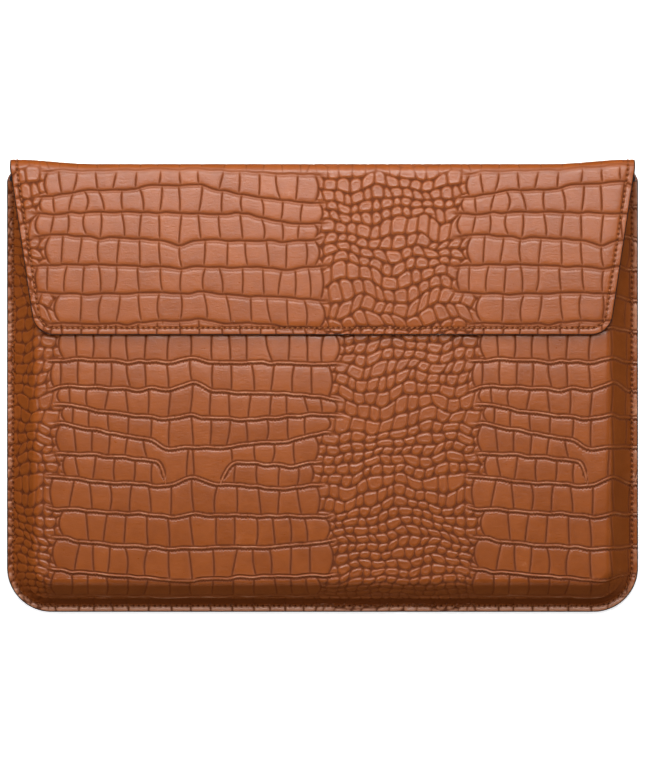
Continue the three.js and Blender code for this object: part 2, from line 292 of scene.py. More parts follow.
    def pebble_distance(self, band, rise, u, height):
        """Distance in from the edge of the small scales, rounded and plain, the direction to that edge,
        and a number for the scale."""
        level = self.first_row[band] + rise * self.pebble_rows[band]
        level = level + 0.3 * np.sin(u * 0.14 + level * 0.5) + 0.1 * np.sin(u * 0.33 - level * 0.9)
        tall = height / self.pebble_rows[band]
        row = np.clip(level.astype(int), 0, len(self.pebbles) - 1)
        share = np.clip(level - row, 0, 1)
        to_left, to_right = np.full(len(u), 50.0), np.full(len(u), 50.0)
        number = np.zeros(len(u), int)
        for r, (places, tilts) in enumerate(self.pebbles):
            mine = np.flatnonzero(row == r)
            if not len(mine):
                continue
            wrapped = np.concatenate([places - PERIOD, places, places + PERIOD])
            again = np.tile(tilts, 3)
            near = np.searchsorted(wrapped, u[mine])
            for offset in (-2, -1, 0, 1):
                j = np.clip(near + offset, 0, len(wrapped) - 1)
                past = u[mine] - wrapped[j] - again[j] * (share[mine] - 0.5)
                to_left[mine] = np.where(past >= 0, np.minimum(to_left[mine], past), to_left[mine])
                to_right[mine] = np.where(past < 0, np.minimum(to_right[mine], -past), to_right[mine])
            number[mine] = r * 97 + near % len(places)
        side = np.minimum(to_left, to_right)
        below, above = share * tall, (1 - share) * tall
        rounded = np.minimum(rounded_corner(side, below, 3.0), rounded_corner(side, above, 1.8))
        nearest = np.minimum(side, np.minimum(below, above))
        across = np.where(to_left < to_right, -1.0, 1.0) * (side <= nearest)
        upward = np.where(below < above, -1.0, 1.0) * (side > nearest)
        return rounded, nearest, (across, upward), number

    def row_edge(self, x, to_row):
        """A row edge's height, groove share and painted highlight share on its bead, by the distance up
        from its line.

        On a beaded plate it is a bead between a fine groove and a rough one; else one plain groove.
        """
        ripple = 0.2 * np.sin(x * 5.2 + 2.2 * np.sin(x * 0.83)) + 0.12 * np.sin(x * 3.1 + 1.3)
        if not self.beaded:
            rough = bell(to_row - 1.7 + ripple, 0.4)
            height = -0.62 * bell(to_row, 0.6) - 0.14 * bell(to_row, 2.0) - 0.2 * rough
            return height, np.maximum(bell(to_row, 0.62), 0.35 * rough), np.zeros(len(x))
        fine = bell(to_row - FINE_LINE, 0.36)
        rough = bell(to_row - ROUGH_LINE + ripple, 0.55)
        height = (
            -0.45 * fine
            - 0.75 * rough * (1 + 1.2 * ripple)
            + 0.3 * bell(to_row, 0.55)
            - 0.09 * bell(to_row + 2.4, 1.5)
            - 0.07 * bell(to_row - 2.2, 1.6)
        )
        return height, np.maximum(fine, rough), bell(to_row, 0.5)

    def locate(self, x, y):
        """Each point's place among the scales: which one it is on, and how far it is from its edges."""
        u = self.along(x)
        index = np.arange(len(x))
        edges = np.stack([np.interp(u, self.table_at, row) for row in self.table])
        band = np.clip((y[None] > edges).sum(axis=0) - 1, 0, self.bands - 1)
        low, high = edges[band, index], edges[band + 1, index]
        height = np.maximum(high - low, 0.5)
        rise = np.clip((y - low) / height, 0, 1)
        at = SimpleNamespace()
        at.inside = self.inside_square(band, rise, u)
        at.square = smoothstep(at.inside, -0.15, 0.15)
        at.joint, at.scale = self.joint_distance(band, rise, u)
        at.pebble, at.nearest = np.full(len(x), 9.0), np.full(len(x), 9.0)
        at.direction, at.number = np.zeros((2, len(x))), np.zeros(len(x), int)
        few = np.flatnonzero(at.inside < 4)
        found = self.pebble_distance(band[few], rise[few], u[few], height[few])
        at.pebble[few], at.nearest[few], at.direction[:, few], at.number[few] = found
        self.locate_row(at, u, band, y - low, y - high)
        return at

    def locate_row(self, at, u, band, from_low, from_high):
        """Adds the signed distance up from the nearest row edge, and how strongly that edge is cut."""
        upper = np.abs(from_low) >= np.abs(from_high)
        edge = band + upper
        steep = np.zeros(len(u))
        for k in range(self.bands + 1):
            mine = np.flatnonzero(edge == k)
            steep[mine] = np.interp(u[mine], self.table_at, self.slope[k])
        at.lean = np.sqrt(1 + steep**2)
        at.to_row = np.where(upper, from_high, from_low) / at.lean
        above = self.inside_square(np.clip(edge, 0, self.bands - 1), 0.0, u)
        below = self.inside_square(np.clip(edge - 1, 0, self.bands - 1), 1.0, u)
        at.row_strength = smoothstep(np.maximum(above, below), -8, 0)

    def relief(self, x, y):
        """Height, groove share and tone for each point."""
        at = self.locate(x, y)
        row, row_groove, bead = self.row_edge(x, at.to_row)
        clear = 1 - at.row_strength * bell(at.to_row, 1.35)
        width = 0.45 if self.beaded else 0.36
        joints = -0.5 * bell(at.joint, width) - 0.12 * bell(at.joint, 1.5)
        ends = -0.5 * bell(at.inside, 0.62) - 0.12 * bell(at.inside, 1.6)
        small = -0.85 * (1 - smoothstep(at.pebble, -0.4, 1.0)) + 0.09 * bell(at.pebble - 1.35, 0.45)
        total = at.row_strength * row + clear * (at.square * joints + (1 - at.square) * small + ends)
        total = np.where(total < 0, -DEEPEST * np.tanh(-total / DEEPEST), total)
        joint_groove = at.square * bell(at.joint, width + 0.08)
        small_groove = (1 - at.square) * 0.9 * (1 - smoothstep(at.pebble, -0.3, 0.7))
        groove = clear * np.maximum(joint_groove, small_groove)
        groove = np.maximum(at.row_strength * row_groove, groove)
        groove = np.maximum(groove, clear * bell(at.inside, 0.55))
        tone = self.scale_tone(at)
        # painted highlight: the bead's top lightened towards the ramp's lightest colour
        tone = tone + (2 - tone) * at.row_strength * bead
        return total, np.clip(groove, 0, 1), tone

    def scale_tone(self, at):
        """A tone of its own for each scale, from its number."""
        number = np.where(at.square > 0.5, at.scale, at.number + 7919)
        tone = np.modf(np.abs(np.sin(number * 12.9898) * 43758.5453))[0]
        return np.where(at.square > 0.5, tone, 0.3 + 0.4 * tone)

    def snapping(self, x, y):
        """The moves that put the points nearest to each groove on its line, so the mesh shows it."""
        at = self.locate(x, y)
        limit = 0.5 * STEP
        moves = np.zeros((2, len(x)))
        take = (at.square > 0.5) & (np.abs(at.joint) < limit)
        moves[0, take] = -at.joint[take]
        take = (at.square <= 0.5) & (at.nearest < limit)
        moves[:, take] = (at.nearest * at.direction)[:, take]
        for line in (ROUGH_LINE, 0.0, FINE_LINE):
            take = (at.row_strength > 0.4) & (np.abs(at.to_row - line) < limit)
            moves[0, take] = 0
            moves[1, take] = ((line - at.to_row) * at.lean)[take]
        return moves.T


def front_plate():
    """The front panel's plate: its given rows, with even ones above and below them."""
    rows = [list(row) for row in FRONT_ROWS]
    added = 3
    for _ in range(added):
        rows.insert(0, [height - FRONT_PITCH for height in rows[0]])
    for _ in range(7):
        rows.append([height + FRONT_PITCH for height in rows[-1]])
    return Embossing(3, FRONT_ORIGIN, FRONT_STATIONS, rows, DOUBLE_ROW + added)


def skin_plate():
    """The skin's plate: the flap's given rows, with even ones along the spine and back."""
    rows = [[PATH.end - height for height in row] for row in FLAP_ROWS]
    rows.append([height + SKIN_PITCH for height in rows[-1]])
    while rows[0][0] > -SKIN_PITCH:
        middle = sum(rows[0]) / len(rows[0])
        rows.insert(0, [middle + 0.6 * (height - middle) - SKIN_PITCH for height in rows[0]])
    return Embossing(11, SKIN_ORIGIN, FLAP_STATIONS, rows)


# ---------------------------------------------------------------- meshes


def make_mesh(name, points, triangles, materials, face_material=None, attributes=None):
    """A shaded mesh object in metres from points in millimetres."""
    mesh = bpy.data.meshes.new(name)
    mesh.vertices.add(len(points))
    mesh.vertices.foreach_set("co", (np.asarray(points) * MM).astype(np.float32).ravel())
    triangles = np.asarray(triangles, np.int32)
    mesh.loops.add(triangles.size)
    mesh.loops.foreach_set("vertex_index", triangles.ravel())
    mesh.polygons.add(len(triangles))
    mesh.polygons.foreach_set("loop_start", np.arange(0, triangles.size, 3, dtype=np.int32))
    mesh.polygons.foreach_set("use_smooth", np.ones(len(triangles), bool))
    for material in materials:
        mesh.materials.append(material)
    if face_material is not None:
        mesh.polygons.foreach_set("material_index", np.asarray(face_material, np.int32))
    for key, values in (attributes or {}).items():
        attribute = mesh.attributes.new(key, "FLOAT", "POINT")
        attribute.data.foreach_set("value", np.asarray(values, np.float32))
    mesh.update()
    mesh.validate()
    obj = bpy.data.objects.new(name, mesh)
    bpy.context.scene.collection.objects.link(obj)
    return obj


def grid_triangles(index, height):
    """Two triangles for each cell of a grid of vertex numbers, split along its lower diagonal."""
    a, b = index[:-1, :-1].ravel(), index[:-1, 1:].ravel()
    c, d = index[1:, 1:].ravel(), index[1:, :-1].ravel()
    along_ac = (height[a] + height[c] < height[b] + height[d])[:, None]
    first = np.where(along_ac, np.stack([a, b, c], 1), np.stack([a, b, d], 1))
    second = np.where(along_ac, np.stack([a, c, d], 1), np.stack([b, c, d], 1))
    return np.concatenate([first, second])


def outline_of(triangles):
    """The vertex numbers round a mesh's single open edge, in order."""
    edges = np.concatenate([triangles[:, [0, 1]], triangles[:, [1, 2]], triangles[:, [2, 0]]])
    key = np.sort(edges, axis=1)
    _, first, uses = np.unique(key, axis=0, return_index=True, return_counts=True)
    follows = dict(edges[first[uses == 1]].tolist())
    start = next(iter(follows))
    loop = [start]
    while follows[loop[-1]] != start:
        loop.append(follows[loop[-1]])
    return np.array(loop)


def tube_triangles(number):
    """The walls and flat ends of a tube, from its rings of vertex numbers."""
    a, b = number[:-1], np.roll(number[:-1], -1, axis=1)
    d, c = number[1:], np.roll(number[1:], -1, axis=1)
    walls = [np.stack(corners, -1).reshape(-1, 3) for corners in ((a, d, c), (a, c, b))]
    start, stop = [
        np.stack([np.full(len(ring) - 2, ring[0]), ring[1:-1], ring[2:]], 1) for ring in number[[0, -1]]
    ]
    return np.concatenate([*walls, start, stop[:, ::-1]])


def lattice(xs, ys):
    """The points of a grid of lines, as one list."""
    return np.stack(np.meshgrid(xs, ys), -1).reshape(-1, 2)


def inner_mesh(rim, fill):
    """A flat face inside an outline, with points at the fill's places: its points and triangles."""
    places = np.concatenate([rim, fill[inside_loop(fill, rim, 0.7)]])
    edges = [(i, (i + 1) % len(rim)) for i in range(len(rim))]
    found = geometry.delaunay_2d_cdt([Vector(p) for p in places.tolist()], edges, [], 1, 1e-6)
    if len(found[0]) != len(places):
        raise RuntimeError(f"inner face gained {len(found[0]) - len(places)} points")
    order = np.array([origin[0] for origin in found[3]])
    return places, order[np.array(found[2])]


def edge_rings(rim_top, rim_bottom, centre, bulge):
    """Three rings of points between the two faces' rims, swelling outwards by bulge."""
    ahead = np.roll(rim_top, -1, axis=0) - np.roll(rim_top, 1, axis=0)
    down = rim_bottom - rim_top
    out = np.cross(ahead, down)
    out /= np.maximum(np.linalg.norm(out, axis=1, keepdims=True), 1e-9)
    if ((rim_top - centre) * out).sum() < 0:
        out = -out
    swells = [(share, bulge * math.sqrt(1 - (2 * share - 1) ** 2)) for share in (0.15, 0.5, 0.85)]
    return [rim_top + down * share + out * swell for share, swell in swells]


def close_sheet(flat, points, triangles, inner, fill, edge_bulge=0.22):
    """Adds an edge wall and an inner face to a dense sheet.

    flat holds each point's place in the plane that the sheet is drawn in, inner(flat) gives the inner
    face's points, and fill the places inside the edge where that face has points.
    Returns points, triangles and each triangle's part: 0 outside, 1 edge, 2 inside.
    """
    loop = outline_of(triangles)
    places, faces = inner_mesh(flat[loop], fill)
    inner_points = inner(places)
    n, m = len(points), len(loop)
    middle = edge_rings(points[loop], inner_points[:m], points.mean(axis=0), edge_bulge)
    inner_index = n + 3 * m + np.arange(len(places))
    rings = [loop, *(n + i * m + np.arange(m) for i in range(3)), inner_index[:m]]
    walls = []
    for upper, lower in zip(rings[:-1], rings[1:]):
        a, b = upper, np.roll(upper, -1)
        c, d = np.roll(lower, -1), lower
        walls += [np.stack([b, a, d], 1), np.stack([b, d, c], 1)]
    walls = np.concatenate(walls)
    # The inner face turns the other way from the outer one
    flip = turn(places[faces]) * turn(flat[triangles]).sum() > 0
    faces = inner_index[np.where(flip[:, None], faces[:, ::-1], faces)]
    part = np.repeat([0, 1, 2], [len(triangles), len(walls), len(faces)])
    return np.concatenate([points, *middle, inner_points]), np.concatenate([triangles, walls, faces]), part


def turn(corners):
    a, b, c = corners[:, 0], corners[:, 1], corners[:, 2]
    return (b[:, 0] - a[:, 0]) * (c[:, 1] - a[:, 1]) - (b[:, 1] - a[:, 1]) * (c[:, 0] - a[:, 0])


def inside_loop(points, loop, margin):
    """Which points are inside a closed outline and at least margin from it."""
    a, b = loop, np.roll(loop, -1, axis=0)
    crossings = np.zeros(len(points), int)
    nearest = np.full(len(points), 1e9)
    for (ax, ay), (bx, by) in zip(a, b):
        nearest = np.minimum(nearest, (points[:, 0] - ax) ** 2 + (points[:, 1] - ay) ** 2)
        if ay == by:
            continue
        spans = (ay > points[:, 1]) != (by > points[:, 1])
        where = (bx - ax) * (points[:, 1] - ay) / (by - ay) + ax
        crossings += spans & (points[:, 0] < where)
    return (crossings % 2 == 1) & (nearest > margin**2)


# ---------------------------------------------------------------- front panel


def rounded_inset(x, y, half, bottom, radius):
    """How far each point is inside an outline with straight sides, a flat bottom and round corners,
    and the outward direction of the nearest edge. The outline has no top."""
    across, down = np.abs(x) - (half - radius), (bottom + radius) - y
    corner = (across > 0) & (down > 0)
    reach = np.sqrt(np.maximum(across, 0) ** 2 + np.maximum(down, 0) ** 2)
    inset = np.where(corner, radius - reach, radius - np.maximum(across, down))
    side = np.sign(x) + (x == 0)
    safe = np.maximum(reach, 1e-9)
    out_x = np.where(corner, side * across / safe, np.where(across > down, side, 0.0))
    out_y = np.where(corner, -down / safe, np.where(across > down, 0.0, -1.0))
    return inset, out_x, out_y


def front_profile():
    """The front's section from its edge inwards: insets, heights and distances along the leather."""
    flange_z = FLANGE_LOW_Z + LEATHER
    slope = math.atan2(FRONT_Z - flange_z, CREST_INSET - FLANGE)
    tangent = CREST_RADIUS * math.tan(slope / 2)
    foot_tangent = FOOT_RADIUS * math.tan(slope / 2)
    points = [(0.0, flange_z)]
    for angle in np.linspace(0, slope, 7):
        across = FLANGE - foot_tangent + FOOT_RADIUS * math.sin(angle)
        points.append((across, flange_z + FOOT_RADIUS * (1 - math.cos(angle))))
    for angle in np.linspace(slope, 0, 12):
        across = CREST_INSET + tangent - CREST_RADIUS * math.sin(angle)
        points.append((across, FRONT_Z - CREST_RADIUS + CREST_RADIUS * math.cos(angle)))
    points.append((400.0, FRONT_Z))
    inset, z = np.array(points).T
    along = np.concatenate([[0], np.cumsum(np.hypot(np.diff(inset), np.diff(z)))])
    return inset, z, along


PROFILE_INSET, PROFILE_Z, PROFILE_ALONG = front_profile()
PLATEAU_INSET = PROFILE_INSET[-2]


def rim_point(s, inset):
    """A point of the sleeve's rim, inset, at signed distance s from the middle of the bottom."""
    radius = BOTTOM_RADIUS - inset
    straight = HALF_WIDTH - BOTTOM_RADIUS
    angle = np.clip((np.abs(s) - straight) / radius, 0, math.pi / 2)
    rest = np.clip(np.abs(s) - straight - radius * math.pi / 2, 0, None)
    x = np.minimum(np.abs(s), straight) + radius * np.sin(angle)
    y = BOTTOM_Y + BOTTOM_RADIUS - radius * np.cos(angle) + rest
    return np.sign(s) * x, y


class FrontSurface:
    """The moulded front's base surface as a function of its place seen from above."""

    def __init__(self):
        self.outline = (HALF_WIDTH, BOTTOM_Y, BOTTOM_RADIUS)

    def section(self, inset):
        z = np.interp(inset, PROFILE_INSET, PROFILE_Z)
        along = np.interp(inset, PROFILE_INSET, PROFILE_ALONG)
        slope = (np.interp(inset + 0.05, PROFILE_INSET, PROFILE_Z) - z) / 0.05
        return z, along, slope

    def crown(self, x, y):
        """The soft rise of the flat front, nothing under the flap and a little below it."""
        open_part = 1 - smoothstep(y, FLAP_EDGE_Y - 30, FLAP_EDGE_Y + 2)
        across = np.clip(1 - (x / (HALF_WIDTH - PLATEAU_INSET)) ** 2, 0, 1)
        down = smoothstep(y, BOTTOM_Y + PLATEAU_INSET, BOTTOM_Y + PLATEAU_INSET + 45)
        return CROWN * across**0.7 * down * open_part

    def place(self, flat):
        """Points, normals and places on the embossing plate."""
        x, y = flat[:, 0], flat[:, 1]
        inset, out_x, out_y = rounded_inset(x, y, *self.outline)
        z, along, slope = self.section(inset)
        rim = np.clip(PLATEAU_INSET - inset, 0, None)
        length = np.clip(PROFILE_ALONG[-2] - along, 0, None)
        plate_x = x + 0.35 * out_x * (length - rim)
        plate_y = y + out_y * (length - rim)
        normal = np.stack([out_x * slope, out_y * slope, np.ones_like(x)], 1)
        normal /= np.linalg.norm(normal, axis=1, keepdims=True)
        points = np.stack([x, y, z + self.crown(x, y)], 1)
        return points, normal, np.stack([plate_x, plate_y], 1), inset


def rounded_rows(half, bottom, radius, top, step, turns):
    """Heights of grid rows inside an outline with round bottom corners, and its half width at each.

    The rows are close together round the corners, then even.
    """
    low = bottom + radius * (1 - np.cos(np.linspace(0, math.pi / 2, turns)))
    high = np.linspace(low[-1], top, max(2, int(round((top - low[-1]) / step)) + 1))
    rows = np.concatenate([low, high[1:]])
    lift = np.clip(bottom + radius - rows, 0, None)
    return rows, half - radius + np.sqrt(np.maximum(radius**2 - lift**2, 0))


def seam_cut(across, along):
    """The leather pressed in along a seam: a shallow channel with a hole at each stitch's end."""
    to_hole = np.mod(along + STITCH_PITCH / 2, STITCH_PITCH) - STITCH_PITCH / 2
    hole = bell(np.hypot(across, 0.85 * to_hole), 0.66)
    return -0.22 * bell(across, 0.8) - 0.62 * hole, np.maximum(hole, 0.3 * bell(across, 0.5))


def rim_distance(x, y, half, bottom, radius, inset):
    """Distance round the inset outline from the middle of the bottom edge."""
    r = radius - inset
    straight = half - radius
    quarter = r * math.pi / 2
    across, down = np.abs(x) - straight, (bottom + radius) - y
    angle = np.arctan2(np.maximum(across, 0), np.maximum(down, 1e-9))
    return np.where(
        across <= 0,
        np.abs(x),
        np.where(down > 0, straight + r * angle, straight + quarter - down),
    )


def front_grid(step, insets):
    """A flat grid over the front's plateau, with rings outwards at the given insets.

    Returns the points seen from above, the triangles' vertex grids, and which points are well inside.
    """
    half, bottom = HALF_WIDTH - PLATEAU_INSET, BOTTOM_Y + PLATEAU_INSET
    radius = BOTTOM_RADIUS - PLATEAU_INSET
    turns = max(4, int(BOTTOM_RADIUS * math.pi / 2 / (1.75 * step)))
    rows, halves = rounded_rows(half, bottom, radius, MOUTH_Y, step, turns)
    columns = np.linspace(-1, 1, int(2 * half / step) | 1)
    x = columns[None] * halves[:, None]
    y = np.repeat(rows[:, None], len(columns), 1)
    index = np.arange(x.size).reshape(x.shape)
    flat = np.stack([x.ravel(), y.ravel()], 1)
    loop = np.concatenate([index[::-1, 0], index[0, 1:-1], index[:, -1]])
    _, out_x, out_y = rounded_inset(flat[loop, 0], flat[loop, 1], half, bottom, radius)
    out = np.stack([out_x, out_y], 1)
    rings = [flat[loop] + out * (PLATEAU_INSET - inset) for inset in insets]
    numbers = [loop] + [x.size + i * len(loop) + np.arange(len(loop)) for i in range(len(insets))]
    inner = np.zeros(x.size + len(insets) * len(loop), bool)
    inner[index[turns:-2, 2:-2]] = True
    return np.concatenate([flat, *rings]), [index, np.stack(numbers)[::-1]], inner


def ring_insets(step, extra=(), last=0.0):
    """Insets of rings out over the crest, slope and flange, evenly spaced along the leather."""
    along = np.linspace(PROFILE_ALONG[-2], 0, int(PROFILE_ALONG[-2] / step))
    insets = np.interp(along, PROFILE_ALONG, PROFILE_INSET)
    insets = np.unique(np.concatenate([insets[insets > last], [last], extra]))[::-1]
    return insets[insets < PLATEAU_INSET - 0.05]


def front_fill(first):
    """Places for the points of a face inside the front: rings up the slope, and a wide grid."""
    insets = [i for i in (1.6, 2.6, 3.4, 4.2, 6, 10, 14, 15.5, 16.6, 17.8) if i > first + 1]
    rings = []
    for inset in insets:
        reach = HALF_WIDTH - BOTTOM_RADIUS + (BOTTOM_RADIUS - inset) * math.pi / 2 + 218
        s = np.linspace(-reach, reach, int(reach / 1.5))
        rings.append(np.stack(rim_point(s, inset), 1))
    half, bottom = HALF_WIDTH - PLATEAU_INSET, BOTTOM_Y + PLATEAU_INSET
    middle = lattice(np.arange(4 - half, half - 3, 8.0), np.arange(bottom + 4, MOUTH_Y - 3, 8.0))
    rings = np.concatenate(rings)
    return np.concatenate([rings[rings[:, 1] < MOUTH_Y - 1], middle])


def facing(flat, triangles, side):
    """The triangles, all wound one way seen from above: side is 1 or -1."""
    turned = turn(flat[triangles]) * side
    return np.where((turned < 0)[:, None], triangles[:, ::-1], triangles)


def moulded(flat, normal, inset, height, groove, tone):
    """The embossing as moulding leaves it: fainter up the bottom and right slopes, creased at the foot of
    the bottom one and darkened there as painted shade, and lighter along the sewn edge as wear, more so
    along the bottom as painted highlight."""
    slope_share = smoothstep(PLATEAU_INSET - inset, 1, 6) * smoothstep(inset, FLANGE, FLANGE + 2)
    slope_share = slope_share * smoothstep(normal[:, 0], -0.5, 0)
    height = height * (1 - 0.5 * slope_share)
    bottom_slope = np.clip(-normal[:, 1] / 0.8, 0, 1)
    crease = bottom_slope * bell(inset - FOOT_CREASE, 0.6)
    foot = smoothstep(inset, FLANGE, FLANGE + 1.0) * (1 - smoothstep(inset, 7, 11))
    # painted shade: the groove mask darkens the foot of the bottom slope, which faces away from the lamps
    painted_foot_shade = 0.75 * foot * bottom_slope * (1 - crease)
    height = height + 0.3 * crease - 0.2 * bottom_slope * bell(inset - FOOT_CREASE + 1.4, 0.8)
    groove = np.maximum(groove * (1 - 0.5 * slope_share), painted_foot_shade)
    # lighter along the sewn edge: wear all round, doubled along the bottom as painted highlight
    painted_light_at_bottom = 1 - smoothstep(flat[:, 1], BOTTOM_Y + 6, BOTTOM_Y + 22)
    wear_and_painted_light = (1.2 + 1.2 * painted_light_at_bottom) * (1 - smoothstep(inset, FLANGE - 1.2, FLANGE + 0.6))
    return height, groove, tone + wear_and_painted_light + 0.7 * crease


def sewn(flat, inset, height, groove):
    """Presses the front's two seams into the leather, turns its sewn edge up and rounds its cut edges."""
    along = rim_distance(flat[:, 0], flat[:, 1], HALF_WIDTH, BOTTOM_Y, BOTTOM_RADIUS, SEAM_INSET)
    cut, hole = seam_cut(inset - SEAM_INSET, along)
    mouth_cut, mouth_hole = seam_cut(MOUTH_Y - MOUTH_SEAM - flat[:, 1], flat[:, 0])
    on_top = (inset > PLATEAU_INSET).astype(float)
    height = height + cut + on_top * mouth_cut
    height += FLANGE_LIFT * np.clip(1 - inset / FLANGE, 0, 1)
    height -= 0.3 * bell(np.minimum(inset, MOUTH_Y - flat[:, 1]), 0.4)
    return height, np.maximum(groove, np.maximum(hole, on_top * mouth_hole))


def build_front(plate, materials):
    """The front leather, dense enough to hold its embossing."""
    surface = FrontSurface()
    seam_lines = SEAM_INSET + np.array([-0.7, -0.35, 0.0, 0.35, 0.7])
    insets = ring_insets(1.3 * STEP, [PAINTED, 0.8, *seam_lines])
    flat, grids, inner = front_grid(STEP, insets)

    _, _, on_plate, _ = surface.place(flat)
    flat += np.where(inner[:, None], plate.snapping(*on_plate.T), 0)
    points, normal, on_plate, inset = surface.place(flat)
    height, groove, tone = plate.relief(*on_plate.T)
    height, groove, tone = moulded(flat, normal, inset, height, groove, tone)
    height, groove = sewn(flat, inset, height, groove)
    points = points + normal * height[:, None]

    triangles = np.concatenate([grid_triangles(grid, height) for grid in grids])
    triangles = facing(flat, triangles, 1)

    def inner_face(places):
        base, up, _, _ = surface.place(places)
        return base - up * LEATHER

    painted = inset[triangles].max(axis=1) < PAINTED + 0.01
    points, triangles, part = close_sheet(flat, points, triangles, inner_face, front_fill(0.0))
    part[: len(painted)][painted] = 1
    return leather_mesh("front_leather", points, triangles, part, groove, tone, materials)


def leather_mesh(name, points, triangles, part, groove, tone, materials):
    extra = len(points) - len(groove)
    attributes = {
        "groove": np.concatenate([groove, np.zeros(extra)]),
        "tone": np.concatenate([tone, np.full(extra, 0.5)]),
    }
    return make_mesh(name, points, triangles, materials, (part == 1).astype(int), attributes)


# ---------------------------------------------------------------- back, spine and flap


class SkinPath:
    """The skin's outside in section: along the back, round two folds and down the flap."""

    def __init__(self):
        quarter = FOLD_RADIUS * math.pi / 2
        self.back = FOLD_Y - BOTTOM_Y
        self.wall = FLAP_Z - 2 * FOLD_RADIUS
        self.spine = self.back + quarter
        self.spine_top = self.spine + self.wall
        self.flap = self.spine_top + quarter
        self.end = self.flap + FOLD_Y - FLAP_EDGE_Y
        self.middle = (self.spine + self.spine_top) / 2

    def place(self, v):
        """y, z and the outward direction at distance v along the skin."""
        lower = np.clip((v - self.back) / FOLD_RADIUS, 0, math.pi / 2)
        upper = np.clip((v - self.spine_top) / FOLD_RADIUS, 0, math.pi / 2)
        angle = lower + upper
        y = BOTTOM_Y + np.minimum(v, self.back) + FOLD_RADIUS * np.sin(lower)
        y += FOLD_RADIUS * (np.cos(upper) - 1)
        y -= np.clip(v - self.flap, 0, None)
        z = FOLD_RADIUS * (1 - np.cos(lower)) + np.clip(v - self.spine, 0, self.wall)
        z += FOLD_RADIUS * np.sin(upper)
        return y, z, np.sin(angle), -np.cos(angle)


PATH = SkinPath()


def flap_side(y):
    return SPINE_HALF - (FOLD_Y - y) * FLAP_TAPER


LEAN = math.atan(FLAP_TAPER)
FLAP_CORNER_Y = FLAP_EDGE_Y + FLAP_RADIUS
FLAP_CORNER_X = flap_side(FLAP_CORNER_Y) - FLAP_RADIUS / math.cos(LEAN)


def flap_inset(x, y):
    """How far each point is inside the flap's edge, its sides and its lower edge only."""
    side = (flap_side(y) - np.abs(x)) * math.cos(LEAN)
    dx, dy = np.abs(x) - FLAP_CORNER_X, FLAP_CORNER_Y - y
    reach = np.hypot(dx, dy)
    corner = (dy > 0) & (dx > -dy * 1e-6) & (dx * math.sin(LEAN) + dy * math.cos(LEAN) > 0)
    return np.where(corner & (dx > 0), FLAP_RADIUS - reach, np.minimum(side, y - FLAP_EDGE_Y))


def skin_half(v):
    """Half the skin's width at distance v along it."""
    y = BOTTOM_Y + v
    lift = np.clip(BOTTOM_RADIUS - v, 0, None)
    back = HALF_WIDTH - BOTTOM_RADIUS + np.sqrt(np.maximum(BOTTOM_RADIUS**2 - lift**2, 0))
    narrow = smoothstep(y, MOUTH_Y, FOLD_Y)
    back = back - (HALF_WIDTH - SPINE_HALF) * narrow
    flap_y = FOLD_Y - (v - PATH.flap)
    side = flap_side(flap_y)
    drop = np.clip(FLAP_CORNER_Y - flap_y, 0, None)
    corner = FLAP_CORNER_X + np.sqrt(np.maximum(FLAP_RADIUS**2 - drop**2, 0))
    start = FLAP_RADIUS * math.sin(LEAN)
    flap = np.where(drop > start, corner, side)
    return np.where(v < PATH.back, back, np.where(v < PATH.flap, SPINE_HALF, flap))


def edge_inset(x, v):
    """How far each point of the flat skin is from its nearest cut edge."""
    flap_y = FOLD_Y - (v - PATH.flap)
    on_flap = flap_inset(x, flap_y)
    on_back, _, _ = rounded_inset(x, BOTTOM_Y + v, HALF_WIDTH, BOTTOM_Y, BOTTOM_RADIUS)
    between = skin_half(np.clip(v, PATH.back - 5, PATH.flap)) - np.abs(x)
    return np.where(v > PATH.flap, on_flap, np.where(v < PATH.back - 5, on_back, between))


def top_dip(x):
    """How far the folded top edge sinks between its two corners."""
    return TOP_DIP * smoothstep(SPINE_HALF - np.abs(x), 2, 46)


class SkinSurface:
    """The base surface of the skin. It sinks a little at the flap's sewn edge."""

    def place(self, flat):
        x, v = flat[:, 0], flat[:, 1]
        y, z, out_y, out_z = PATH.place(v)
        y = y - top_dip(x) * smoothstep(y, FOLD_Y - 22, FOLD_Y)
        pressed = (1 - smoothstep(edge_inset(x, v), 2.5, 8)) * smoothstep(v, PATH.flap, PATH.flap + 6)
        normal = np.stack([np.zeros_like(x), out_y, out_z], 1)
        return np.stack([x, y, z - FLAP_PRESSED * pressed], 1), normal, pressed


def skin_rows(low, high, step, ends):
    """Row places along the skin from low to high, close together at a rounded end."""
    inner_low, inner_high = low, high
    rows = []
    if "bottom" in ends:
        angles = np.linspace(0, math.pi / 2, int(BOTTOM_RADIUS * math.pi / 2 / step))
        rows.append(low + BOTTOM_RADIUS * (1 - np.cos(angles)))
        inner_low = low + BOTTOM_RADIUS
    if "flap" in ends:
        inner_high = high - FLAP_RADIUS
    rows.append(np.linspace(inner_low, inner_high, int((inner_high - inner_low) / step) + 1))
    if "flap" in ends:
        angles = np.linspace(math.pi / 2, 0, int(FLAP_RADIUS * math.pi / 2 / step))
        rows.append(high - FLAP_RADIUS * (1 - np.cos(angles)))
    return np.unique(np.round(np.concatenate(rows), 6))


def skin_grid(low, high, step, ends, margin=None):
    """A flat grid over part of the skin, from low to high along it, in from its edges by margin."""
    rows = skin_rows(low, high, step, ends)
    halves = skin_half(rows)
    if margin is not None:
        halves = halves - margin(rows)
    columns = np.linspace(-1, 1, int(2 * SPINE_HALF / step) | 1)
    columns = np.insert(columns, [1, -1], [PAINTED / SPINE_HALF - 1, 1 - PAINTED / SPINE_HALF])
    x = columns[None] * halves[:, None]
    v = np.repeat(rows[:, None], len(columns), 1)
    index = np.arange(x.size).reshape(x.shape)
    inner = np.zeros(x.size, bool)
    inner[index[2:-2, 2:-2]] = True
    return np.stack([x.ravel(), v.ravel()], 1), index, inner


